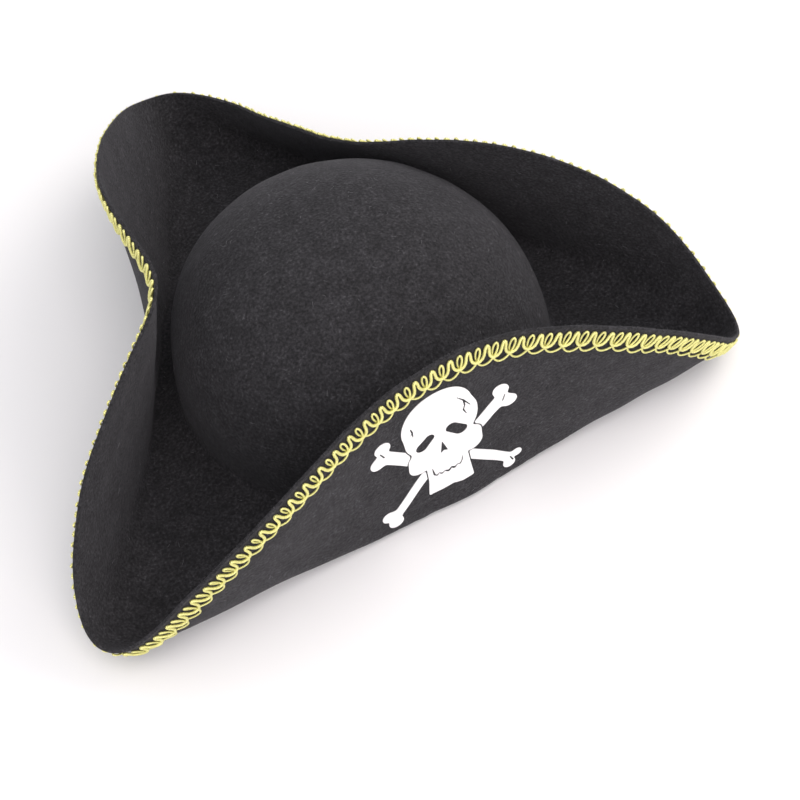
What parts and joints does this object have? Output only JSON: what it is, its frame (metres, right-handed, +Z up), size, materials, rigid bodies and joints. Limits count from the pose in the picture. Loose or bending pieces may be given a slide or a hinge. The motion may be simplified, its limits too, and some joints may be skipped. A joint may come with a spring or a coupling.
{
  "type": "pirate hat",
  "caption": "Black felt tricorne pirate hat: domed crown, brim turned up on every side, gold scroll braid under the cut edge, white skull and crossed bones in front, ribbon sweatband inside.",
  "frame": {"origin": "middle of the hat's footprint, at the level of the surface that it lies on", "axes": "+Z up along the crown, +X to the wearer's left along the longest extent, -Y out of the front cock that carries the emblem"},
  "size_m": [0.3686, 0.3058, 0.1193],
  "materials": {
    "black_felt": "matt moulded wool-type felt, slightly fuzzy",
    "gold_braid": "metallic gold wrapped cord",
    "white_film": "matt heat-pressed white film",
    "black_ribbon": "fine ribbed woven ribbon",
    "black_thread": "twisted sewing thread"
  },
  "bodies": {
    "root": {"felt_body": "black_felt", "gold_braid": "gold_braid", "skull": "white_film", "bone_upper_left": "white_film", "bone_upper_right": "white_film", "bone_lower_right": "white_film", "bone_lower_left": "white_film", "sweatband": "black_ribbon", "sweatband_thread": "black_thread"}
  },
  "joints": []
}
